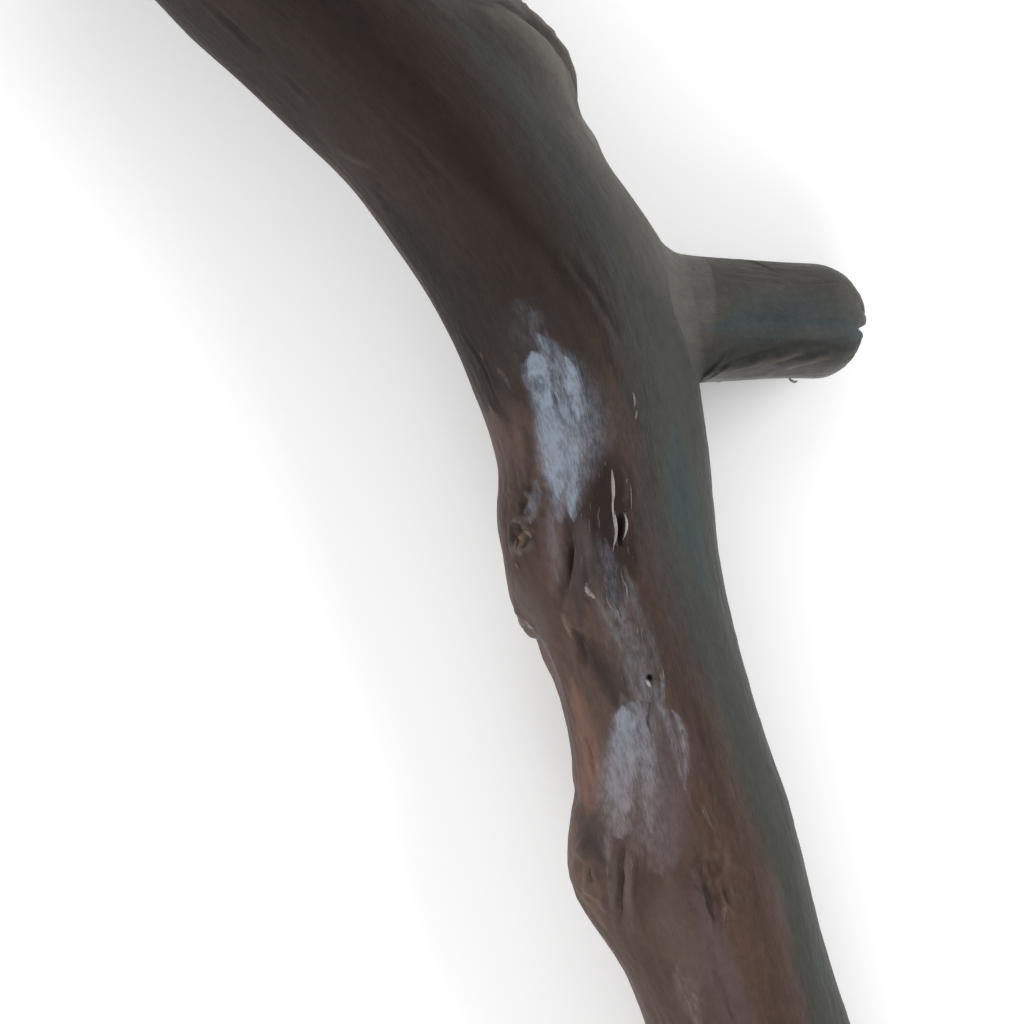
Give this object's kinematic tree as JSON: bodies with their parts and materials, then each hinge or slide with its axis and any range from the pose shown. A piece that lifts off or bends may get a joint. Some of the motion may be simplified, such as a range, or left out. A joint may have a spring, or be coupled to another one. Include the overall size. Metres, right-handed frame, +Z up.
{
  "type": "fallen tree branch",
  "caption": "Fallen length of a tree branch with a gentle bend, burls and a broken side stub, one end sawn and the other snapped, lying flat.",
  "frame": {"origin": "middle of the lying branch, on the surface that it rests on", "axes": "+Z up; +Y roughly along the branch, from the snapped end towards the sawn end; +X to the side that the stub points to"},
  "size_m": [0.2277, 0.4185, 0.0587],
  "materials": {
    "bark": "weathered smooth bark, partly bleached",
    "bare_wood": "dry sawn and torn end grain"
  },
  "bodies": {
    "root": {"limb": "bark", "side_stub": "bark"}
  },
  "joints": []
}
